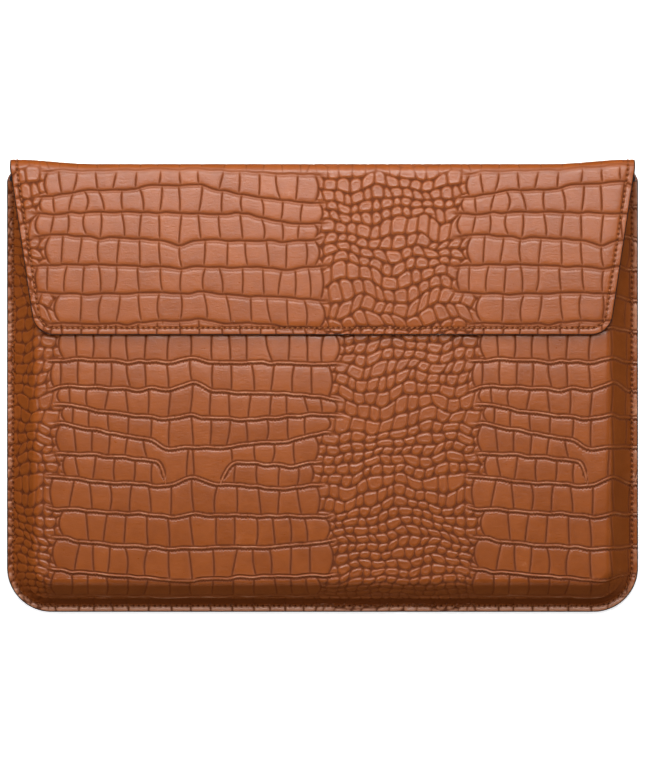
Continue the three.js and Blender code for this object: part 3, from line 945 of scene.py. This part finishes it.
def skin_fill(low, high):
    """Places for the points of a face inside the skin: close together round the folds and edges."""
    edges = np.array([1.2, 2.6, 4.2, 6, 8.2, 11])
    xs = np.arange(-160, 161, 8.0)
    folds = np.concatenate([np.arange(0, 8.5, 0.8) + PATH.back, np.arange(0, 8.5, 0.8) + PATH.spine_top])
    vs = np.concatenate([np.arange(low + 4, high - 3, 8.0), folds, high - edges])
    vs = np.unique(np.round(vs[(vs > low + 1) & (vs < high - 1)], 3))
    sides = np.concatenate([np.stack([skin_half(vs) - edge, vs], 1) for edge in edges])
    return np.concatenate([lattice(xs, vs), sides, sides * [-1, 1]])


def build_skin(name, low, high, step, ends, plate, materials):
    """Part of the skin, from low to high along it, with its embossing on the outside."""
    surface = SkinSurface()
    flat, index, inner = skin_grid(low, high, step, ends)
    moves = plate.snapping(-flat[:, 0], flat[:, 1]) * [-1, 1]
    flat += np.where(inner[:, None], moves, 0)
    height, groove, tone = plate.relief(-flat[:, 0], flat[:, 1])
    inset = edge_inset(flat[:, 0], flat[:, 1])
    height = height * smoothstep(np.abs(flat[:, 1] - PATH.middle), 0.2, 1.2)
    stretched = smoothstep(flat[:, 1], PATH.back - 2, PATH.back + 3)
    stretched *= 1 - smoothstep(flat[:, 1], PATH.flap - 1, PATH.flap + 4)
    height = height * (1 - 0.75 * stretched)
    groove = groove * (1 - 0.6 * stretched)
    cut, hole = seam_cut(inset - FLAP_SEAM_INSET, seam_distance(flat[:, 0], flat[:, 1]))
    height = height + cut - 0.3 * bell(inset, 0.4)
    groove = np.maximum(groove, hole)
    points, normal, _ = surface.place(flat)
    points = points + normal * height[:, None]
    triangles = facing(flat, grid_triangles(index, height), -1)

    def inner_face(places):
        base, out, pressed = surface.place(places)
        return base - out * (LEATHER + 1.05 * pressed)[:, None]

    painted = inset[triangles].max(axis=1) < PAINTED + 0.02
    points, triangles, part = close_sheet(flat, points, triangles, inner_face, skin_fill(low, high))
    part[: len(painted)][painted] = 1
    return leather_mesh(name, points, triangles, part, groove, tone, materials)


SEAM_RADIUS = FLAP_RADIUS - FLAP_SEAM_INSET
SEAM_TURN = math.pi / 2 - LEAN
SIDE_START = FLAP_CORNER_X + SEAM_RADIUS * SEAM_TURN


def seam_distance(x, v):
    """Distance along the skin's seam from the middle of the nearer end, for spacing its stitches."""
    flap_y = FOLD_Y - (v - PATH.flap)
    dx, dy = np.abs(x) - FLAP_CORNER_X, FLAP_CORNER_Y - flap_y
    angle = np.arctan2(np.maximum(dx, 0), np.maximum(dy, 1e-9))
    corner = FLAP_CORNER_X + SEAM_RADIUS * np.minimum(angle, SEAM_TURN)
    side = SIDE_START - dy / math.cos(LEAN)
    on_flap = np.where(dx <= 0, np.abs(x), np.where(dy > 0, corner, side))
    back = rim_distance(x, BOTTOM_Y + v, HALF_WIDTH, BOTTOM_Y, BOTTOM_RADIUS, FLAP_SEAM_INSET)
    return np.where(v > PATH.middle, on_flap, back)


# ---------------------------------------------------------------- stitches


def front_seam_point(s):
    x, y = rim_point(s, SEAM_INSET)
    return FrontSurface().place(np.stack([x, y], 1))[:2]


def mouth_seam_point(s):
    places = np.stack([s, np.full(len(s), MOUTH_Y - MOUTH_SEAM)], 1)
    return FrontSurface().place(places)[:2]


def back_seam_point(s):
    x, y = rim_point(s, FLAP_SEAM_INSET)
    v = y - BOTTOM_Y
    upper = v > BOTTOM_RADIUS
    x = np.where(upper, np.sign(s) * (skin_half(np.minimum(v, PATH.flap)) - FLAP_SEAM_INSET), x)
    return SkinSurface().place(np.stack([x, v], 1))[:2]


def flap_seam_point(s):
    distance = np.abs(s)
    angle = np.clip((distance - FLAP_CORNER_X) / SEAM_RADIUS, 0, SEAM_TURN)
    y = FLAP_CORNER_Y - SEAM_RADIUS * np.cos(angle)
    y = np.where(distance > SIDE_START, FLAP_CORNER_Y + (distance - SIDE_START) * math.cos(LEAN), y)
    x = np.minimum(distance, FLAP_CORNER_X) + SEAM_RADIUS * np.sin(angle)
    side = flap_side(np.minimum(y, FOLD_Y)) - FLAP_SEAM_INSET / math.cos(LEAN)
    x = np.where(distance > SIDE_START, side, x)
    return SkinSurface().place(np.stack([np.sign(s) * x, PATH.flap + FOLD_Y - y], 1))[:2]


STITCH_LENGTH = 2.0
STITCH_RADIUS = 0.34
STITCH_DIP = 0.42  # how far its ends go down into their holes


def stitches(name, seam_point, reach, material):
    """A row of stitches along a seam, from -reach to reach along it, as one mesh of small ovals."""
    count = int(reach / STITCH_PITCH - 0.5)
    middle = (np.arange(-count - 1, count + 1) + 0.5) * STITCH_PITCH
    stations = np.linspace(-1, 1, 9)
    sides = 8
    points, triangles = [], []
    for s in middle:
        slant = 0.12 * rng.uniform(0.6, 1.4)
        length = STITCH_LENGTH * rng.uniform(0.94, 1.04)
        centre, normal = seam_point(s + stations * length / 2)
        along = np.gradient(centre, axis=0)
        along /= np.linalg.norm(along, axis=1, keepdims=True)
        across = np.cross(normal, along)
        wide = STITCH_RADIUS * np.sqrt(np.maximum(1 - stations**4, 0.02))
        sink = -STITCH_DIP * np.abs(stations) ** 3
        start = len(points) * len(stations) * sides
        angle = np.arange(sides) * TAU / sides
        ring = (
            (centre + normal * sink[:, None] + across * (slant * stations)[:, None])[:, None]
            + across[:, None] * (wide[:, None] * np.cos(angle))[..., None]
            + normal[:, None] * (0.8 * wide[:, None] * np.sin(angle))[..., None]
        )
        points.append(ring.reshape(-1, 3))
        number = start + np.arange(len(stations) * sides).reshape(len(stations), sides)
        triangles.append(tube_triangles(number))
    triangles = np.concatenate(triangles)
    return make_mesh(name, np.concatenate(points), triangles, [material])


# ---------------------------------------------------------------- linings


LINING_MARGIN = 6.8
LINING_GAP = 0.1  # between the leather and its lining
UNDERSIDE_MARGIN = 0.3
LINING_BULGE = 0.05


def lining_margin(v):
    """How far the lining of the back and spine stays in from the leather's edge."""
    return LINING_MARGIN - 6.2 * smoothstep(v, PATH.back - 14, PATH.back - 4)


def pocket_lining_depth(flat):
    """The lining lies on the back's padding, and straight on the leather at its rim and spine."""
    narrowing = (HALF_WIDTH - SPINE_HALF) * smoothstep(BOTTOM_Y + flat[:, 1], MOUTH_Y, FOLD_Y)
    inset = edge_inset(flat[:, 0], flat[:, 1]) + narrowing
    pad = smoothstep(inset, 7.5, 12) * (1 - smoothstep(flat[:, 1], PATH.back - 1.5, PATH.back + 5))
    return LEATHER + LINING_GAP + (LINING_Z - LINING - LEATHER - LINING_GAP) * pad


def flap_lining_depth(flat):
    deep = FLAP_Z - FLAP_LINING_HIGH[2]
    share = smoothstep(flat[:, 1], PATH.flap - 5, PATH.flap + 1.5)
    return LEATHER + LINING_GAP + (deep - LEATHER - LINING_GAP) * share


def build_skin_lining(name, low, high, ends, margin, depth, material):
    """A lining sheet under part of the skin."""
    surface = SkinSurface()
    flat, index, _ = skin_grid(low, high, 2.5, ends, margin)

    def face(places, extra):
        base, out, pressed = surface.place(places)
        base[:, 2] += FLAP_PRESSED * pressed
        return base - out * (depth(places) + extra)[:, None]

    points = face(flat, LINING)
    triangles = facing(flat, grid_triangles(index, points[:, 2]), 1)
    points, triangles, _ = close_sheet(
        flat, points, triangles, lambda places: face(places, 0.0), skin_fill(low, high), LINING_BULGE
    )
    return make_mesh(name, points, triangles, [material])


def build_front_lining(material):
    """The lining inside the moulded front, on the inner side of its foam shell."""
    surface = FrontSurface()
    insets = ring_insets(1.6, last=FRONT_LINING_INSET)
    flat, grids, _ = front_grid(3.0, insets)
    flat[:, 1] = np.minimum(flat[:, 1], MOUTH_Y - 0.1)

    def face(places, depth):
        base, up, _, _ = surface.place(places)
        return base - up * depth

    points = face(flat, FRONT_DEPTH + LINING)
    triangles = np.concatenate([grid_triangles(grid, points[:, 2]) for grid in grids])
    triangles = facing(flat, triangles, -1)
    fill = front_fill(FRONT_LINING_INSET)
    points, triangles, _ = close_sheet(
        flat, points, triangles, lambda places: face(places, FRONT_DEPTH), fill, LINING_BULGE
    )
    return make_mesh("front_panel_lining", points, triangles, [material])


PADDING_STEP = 4.0


def build_padding(node, material):
    """The back's padding: a thin pad whose faces round down to meet at its edge."""
    low, high = node_box(node)
    radius = BOTTOM_RADIUS - (HALF_WIDTH - high[0])
    turns = max(4, int(radius * math.pi / 2 / PADDING_STEP))
    rows, halves = rounded_rows(high[0], low[1], radius, high[1], PADDING_STEP, turns)
    across = np.sin(np.linspace(-1, 1, 81) * math.pi / 2)
    up = 2 * (rows - low[1]) / (high[1] - low[1]) - 1
    x = across[None] * halves[:, None]
    y = np.repeat(rows[:, None], len(across), 1)
    plump = ((1 - across[None] ** 8) * (1 - up[:, None] ** 8)) ** 0.35
    middle, half = (low[2] + high[2]) / 2, (high[2] - low[2]) / 2
    upper = np.stack([x, y, middle + half * plump], -1).reshape(-1, 3)
    lower = np.stack([x, y, middle - half * plump], -1).reshape(-1, 3)
    index = np.arange(x.size).reshape(x.shape)
    below = index.copy()
    below[1:-1, 1:-1] += x.size
    top = facing(upper[:, :2], grid_triangles(index, upper[:, 2]), 1)
    bottom = grid_triangles(index, upper[:, 2])
    bottom = below.ravel()[facing(upper[:, :2], bottom, -1)]
    triangles = np.concatenate([top, bottom])
    used, triangles = np.unique(triangles, return_inverse=True)
    points = np.concatenate([upper, lower])[used]
    return make_mesh("back_padding", points, triangles.reshape(-1, 3), [material])


FRONT_DEPTH = 2.4  # from the front's outside to its lining
FRONT_LINING_INSET = 5.6


def build_mouth_edge(material):
    """The painted edge that closes the front's leather, shell and lining at the pocket's mouth."""
    surface = FrontSurface()
    insets = np.append(ring_insets(1.2, last=0.3)[::-1], PLATEAU_INSET)
    left = insets - HALF_WIDTH
    across = np.concatenate([left, np.linspace(left[-1], -left[-1], 80)[1:-1], -left[::-1]])
    places = np.stack([across, np.full(len(across), MOUTH_Y - 0.02)], 1)
    base, up, _, inset = surface.place(places)
    deep = LEATHER + (FRONT_DEPTH + LINING - LEATHER) * smoothstep(inset, 5.5, 9)
    angles = np.linspace(0, TAU, 17)[:-1]
    depth = deep[:, None] * (0.5 - 0.53 * np.sign(np.cos(angles)) * np.abs(np.cos(angles)) ** 0.6)
    outward = 0.32 * np.sign(np.sin(angles)) * np.abs(np.sin(angles)) ** 0.7
    points = base[:, None] - up[:, None] * depth[..., None]
    points[..., 1] += outward
    sides = len(angles)
    number = np.arange(len(across) * sides).reshape(len(across), sides)
    triangles = tube_triangles(number)[:, ::-1]
    return make_mesh("mouth_edge", points.reshape(-1, 3), triangles, [material])


# ---------------------------------------------------------------- materials


def new_material(name):
    material = bpy.data.materials.new(name)
    material.use_nodes = True
    tree = material.node_tree
    return material, tree, tree.nodes["Principled BSDF"]


def connect(tree, node, inputs):
    """Sets a node's inputs: links the ones given as another node's output, and sets the others."""
    for key, value in dict(inputs).items():
        if isinstance(value, bpy.types.NodeSocket):
            tree.links.new(value, node.inputs[key])
        else:
            node.inputs[key].default_value = value


def add(tree, kind, inputs=(), **settings):
    node = tree.nodes.new(kind)
    for key, value in settings.items():
        setattr(node, key, value)
    connect(tree, node, inputs)
    return node


def object_place(tree):
    return add(tree, "ShaderNodeTexCoord").outputs["Object"]


def attribute(tree, name):
    return add(tree, "ShaderNodeAttribute", attribute_name=name).outputs["Fac"]


def noise_texture(tree, place, scale, detail, roughness=0.5):
    inputs = {"Vector": place, "Scale": scale, "Detail": detail, "Roughness": roughness}
    return add(tree, "ShaderNodeTexNoise", inputs).outputs["Fac"]


def multiply_add(tree, value, factor, added, **settings):
    inputs = {0: value, 1: factor, 2: added}
    return add(tree, "ShaderNodeMath", inputs, operation="MULTIPLY_ADD", **settings).outputs[0]


def bump(tree, height, strength, distance, **under):
    """A bump's normal, on top of another one where Normal is given."""
    inputs = {"Height": height, "Strength": strength, "Distance": distance, **under}
    return add(tree, "ShaderNodeBump", inputs).outputs["Normal"]


def ramp(tree, fac, stops):
    node = add(tree, "ShaderNodeValToRGB", {"Fac": fac})
    elements = node.color_ramp.elements
    while len(elements) < len(stops):
        elements.new(0.5)
    for element, (place, colour) in zip(elements, stops):
        element.position = place
        element.color = (*colour, 1)
    return node.outputs["Color"]


LEATHER_DARK = (0.235, 0.053, 0.006)
LEATHER_LIGHT = (0.30, 0.072, 0.010)
# lightest colour: wear along the sewn edge, and painted highlight on the beads and the bottom edge
LEATHER_WORN_AND_HIGHLIGHT = (0.46, 0.18, 0.085)
# the grooves' own darker colour, also used as painted shade at the foot of the front's bottom slope
GROOVE_AND_SHADE_COLOUR = (0.095, 0.016, 0.0002, 1)


def leather_material():
    """Glazed leather, duller and darker in its grooves, by the mesh's groove and tone.
    The groove mask also carries painted shade at the foot of the front's bottom slope, and the lightest
    tone a painted highlight.
    """
    material, tree, bsdf = new_material("embossed_leather")
    place = object_place(tree)
    groove = attribute(tree, "groove")
    tone = attribute(tree, "tone")
    cloud = noise_texture(tree, place, 110.0, 8.0, 0.72)
    stretch = {0: place, 1: (320.0, 900.0, 900.0)}
    stretched = add(tree, "ShaderNodeVectorMath", stretch, operation="MULTIPLY").outputs["Vector"]
    wrinkle = noise_texture(tree, stretched, 1.0, 5.0, 0.62)
    pore = add(tree, "ShaderNodeTexVoronoi", {"Vector": place, "Scale": 1500.0}).outputs["Distance"]
    mixed = multiply_add(tree, tone, 0.2, cloud)
    top = ramp(tree, mixed, [(0.4, LEATHER_DARK), (0.8, LEATHER_LIGHT), (1.0, LEATHER_WORN_AND_HIGHLIGHT)])
    layers = {"Factor": groove, "A": top, "B": GROOVE_AND_SHADE_COLOUR}
    colour = add(tree, "ShaderNodeMix", layers, data_type="RGBA").outputs["Result"]
    span = {"Value": wrinkle, "From Min": 0.3, "From Max": 0.7, "To Min": 0.27, "To Max": 0.38}
    smooth = add(tree, "ShaderNodeMapRange", span).outputs["Result"]
    rough = multiply_add(tree, groove, 1.3, smooth, use_clamp=True)
    pores = bump(tree, pore, 0.4, 0.00008)
    creases = bump(tree, wrinkle, 0.5, 0.0002, Normal=pores)
    connect(tree, bsdf, {"Base Color": colour, "Roughness": rough, "Normal": creases, "IOR": 1.68})
    return material


def edge_paint_material():
    material, tree, bsdf = new_material("edge_paint")
    cloud = noise_texture(tree, object_place(tree), 260.0, 4.0)
    colour = ramp(tree, cloud, [(0.3, (0.012, 0.007, 0.008)), (0.7, (0.03, 0.016, 0.015))])
    raised = bump(tree, cloud, 0.3, 0.0001)
    connect(tree, bsdf, {"Base Color": colour, "Roughness": 0.38, "Normal": raised})
    return material


def speckled_material(name, dark, light, scale, roughness, depth, metallic=0.0, sheen=0.0):
    """A plain procedural finish: two close colours in noise, with a fine bump of the same noise."""
    material, tree, bsdf = new_material(name)
    speckle = noise_texture(tree, object_place(tree), scale, 5.0)
    colour = ramp(tree, speckle, [(0.35, dark), (0.65, light)])
    raised = bump(tree, speckle, 0.5, depth)
    connect(tree, bsdf, {"Base Color": colour, "Roughness": roughness, "Normal": raised})
    connect(tree, bsdf, {"Metallic": metallic, "Sheen Weight": sheen})
    return material


def thread_material():
    """Waxed thread with the slanting ridges of its twist."""
    material, tree, bsdf = new_material("thread")
    inputs = {"Vector": object_place(tree), "Scale": 420.0, "Distortion": 1.5}
    twist = add(tree, "ShaderNodeTexWave", inputs, bands_direction="DIAGONAL").outputs["Fac"]
    colour = ramp(tree, twist, [(0.2, (0.20, 0.052, 0.010)), (0.8, (0.33, 0.10, 0.026))])
    raised = bump(tree, twist, 0.6, 0.0001)
    connect(tree, bsdf, {"Base Color": colour, "Roughness": 0.55, "Normal": raised})
    return material


# ---------------------------------------------------------------- build

leather = leather_material()
edge_paint = edge_paint_material()
thread = thread_material()
microfibre = speckled_material(
    "microfibre", (0.010, 0.011, 0.014), (0.024, 0.025, 0.030), 2600.0, 0.95, 0.00008, sheen=0.12
)
board = speckled_material("board", (0.20, 0.15, 0.10), (0.30, 0.23, 0.16), 800.0, 0.9, 0.0001)
foam = speckled_material("foam", (0.05, 0.05, 0.055), (0.09, 0.09, 0.095), 1800.0, 0.95, 0.0003)
steel = speckled_material("steel", (0.42, 0.42, 0.43), (0.55, 0.55, 0.56), 300.0, 0.35, 0.00002, 1.0)
nickel = speckled_material("nickel", (0.5, 0.49, 0.46), (0.62, 0.61, 0.58), 200.0, 0.25, 0.00001, 1.0)

front = build_front(front_plate(), [leather, edge_paint])
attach(front, "pocket")
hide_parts("front_cover")

plate = skin_plate()
faces = [leather, edge_paint]
upper_skin = build_skin("flap_leather", PATH.middle, PATH.end, STEP, ("flap",), plate, faces)
lower_skin = build_skin("back_leather", 0.0, PATH.middle, 2 * STEP, ("bottom",), plate, faces)


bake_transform(lower_skin)
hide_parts("back_cover")
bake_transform(upper_skin)
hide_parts("flap_cover", "spine_cover")

pocket_lining = build_skin_lining(
    "pocket_lining", LINING_MARGIN, PATH.middle, (), lining_margin, pocket_lining_depth, microfibre
)
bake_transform(pocket_lining)
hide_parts("back_lining")
flap_underside = build_skin_lining(
    "flap_underside",
    PATH.middle,
    PATH.end - UNDERSIDE_MARGIN,
    ("flap",),
    lambda v: np.full(len(v), UNDERSIDE_MARGIN),
    flap_lining_depth,
    microfibre,
)
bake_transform(flap_underside)
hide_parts("flap_lining", "spine_lining")
front_lining = build_front_lining(microfibre)
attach(front_lining, "pocket")
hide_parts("front_lining")
mouth_edge = build_mouth_edge(edge_paint)
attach(mouth_edge, "pocket")

padding = build_padding("back_foam", foam)
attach(padding, "pocket")
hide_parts("back_foam")

QUARTER = (BOTTOM_RADIUS - SEAM_INSET) * math.pi / 2
RIM_REACH = HALF_WIDTH - BOTTOM_RADIUS + QUARTER + MOUTH_Y - BOTTOM_Y - BOTTOM_RADIUS
BACK_REACH = RIM_REACH + PATH.middle - (MOUTH_Y - BOTTOM_Y)
FLAP_REACH = SIDE_START + (PATH.end - PATH.middle - FLAP_RADIUS) / math.cos(LEAN)
perimeter = stitches("perimeter_stitches", front_seam_point, RIM_REACH - 2, thread)
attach(perimeter, "pocket")
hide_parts("perimeter_thread")
mouth = stitches("mouth_stitches", mouth_seam_point, HALF_WIDTH - PLATEAU_INSET - 2, thread)
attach(mouth, "pocket")
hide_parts("mouth_thread")
back_stitches = stitches("back_stitches", back_seam_point, BACK_REACH - 2, thread)
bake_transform(back_stitches)
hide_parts("spine_thread_left", "spine_thread_right")
flap_stitches = stitches("flap_stitches", flap_seam_point, FLAP_REACH - 2, thread)
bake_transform(flap_stitches)
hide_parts("flap_thread")

HIDDEN_LAYERS = {
    "back_board": board,
    "flap_board": board,
    "front_shell": foam,
    "keeper_plate_left": steel,
    "keeper_plate_right": steel,
    "flap_magnet_left": nickel,
    "flap_magnet_right": nickel,
}
for node, material in HIDDEN_LAYERS.items():
    mesh = bpy.data.objects[node].data
    mesh.materials.clear()
    mesh.materials.append(material)

# ---------------------------------------------------------------- stage


FLOOR_HALF = 6.0
FLOOR_Z = -0.0004  # just below the sleeve's back
FLOOR_FINISH = {
    "Base Color": (0.95, 0.95, 0.95, 1),
    "Roughness": 0.9,
    "Specular IOR Level": 0.0,
    "Emission Color": (1, 1, 1, 1),
    "Emission Strength": 0.6,
}


def make_floor():
    """A white sheet that shows to the camera, and neither lights the sleeve nor mirrors in it."""
    mesh = bpy.data.meshes.new("floor")
    corners = [(x * FLOOR_HALF, y * FLOOR_HALF, 0) for x, y in ((-1, -1), (1, -1), (1, 1), (-1, 1))]
    mesh.from_pydata(corners, [], [(0, 1, 2, 3)])
    obj = bpy.data.objects.new("floor", mesh)
    bpy.context.scene.collection.objects.link(obj)
    obj.location.z = FLOOR_Z
    material, tree, bsdf = new_material("floor")
    connect(tree, bsdf, FLOOR_FINISH)
    mesh.materials.append(material)
    obj.visible_diffuse = False
    obj.visible_glossy = False


def area_light(name, place, size, power, aim=(0, 0, 0)):
    light = bpy.data.lights.new(name, "AREA")
    light.shape = "RECTANGLE"
    light.size, light.size_y = size
    light.energy = power
    obj = bpy.data.objects.new(name, light)
    bpy.context.scene.collection.objects.link(obj)
    obj.location = place
    obj.rotation_euler = (Vector(place) - Vector(aim)).to_track_quat("Z", "Y").to_euler()
    obj.visible_camera = False
    return obj


def make_lights():
    area_light("key", (0, 0.24, 0.50), (0.7, 0.2), 2.75)
    fills = (
        ("back_fill", (0, 0.55, 0.34), 3.3),
        ("top_fill", (0, -0.05, 0.9), 0.4),
        ("front_fill", (0, -0.9, 0.35), 2.3),
        ("left_fill", (-1, 0, 0.35), 4.8),
        ("right_fill", (1, 0, 0.35), 2.4),
    )
    for name, place, power in fills:
        fill = area_light(name, place, (0.6, 0.3), power)
        fill.visible_glossy = False
    world = bpy.data.worlds.new("studio")
    world.use_nodes = True
    background = world.node_tree.nodes["Background"]
    connect(world.node_tree, background, {"Color": (1, 1, 1, 1), "Strength": 0.03})
    bpy.context.scene.world = world


CAMERA_DISTANCE = 4.0
CAMERA_Y = -0.0006  # the camera looks straight down here
SENSOR = 36.0
VIEW_HEIGHT = 0.430  # what the picture's taller side takes in at the origin


def make_camera():
    data = bpy.data.cameras.new("camera")
    data.sensor_width = SENSOR
    data.lens = SENSOR * CAMERA_DISTANCE / VIEW_HEIGHT
    camera = bpy.data.objects.new("camera", data)
    camera.location = (0, CAMERA_Y, CAMERA_DISTANCE)
    bpy.context.scene.collection.objects.link(camera)
    bpy.context.scene.camera = camera


make_floor()
make_lights()
make_camera()
bpy.context.scene.view_settings.view_transform = "Standard"
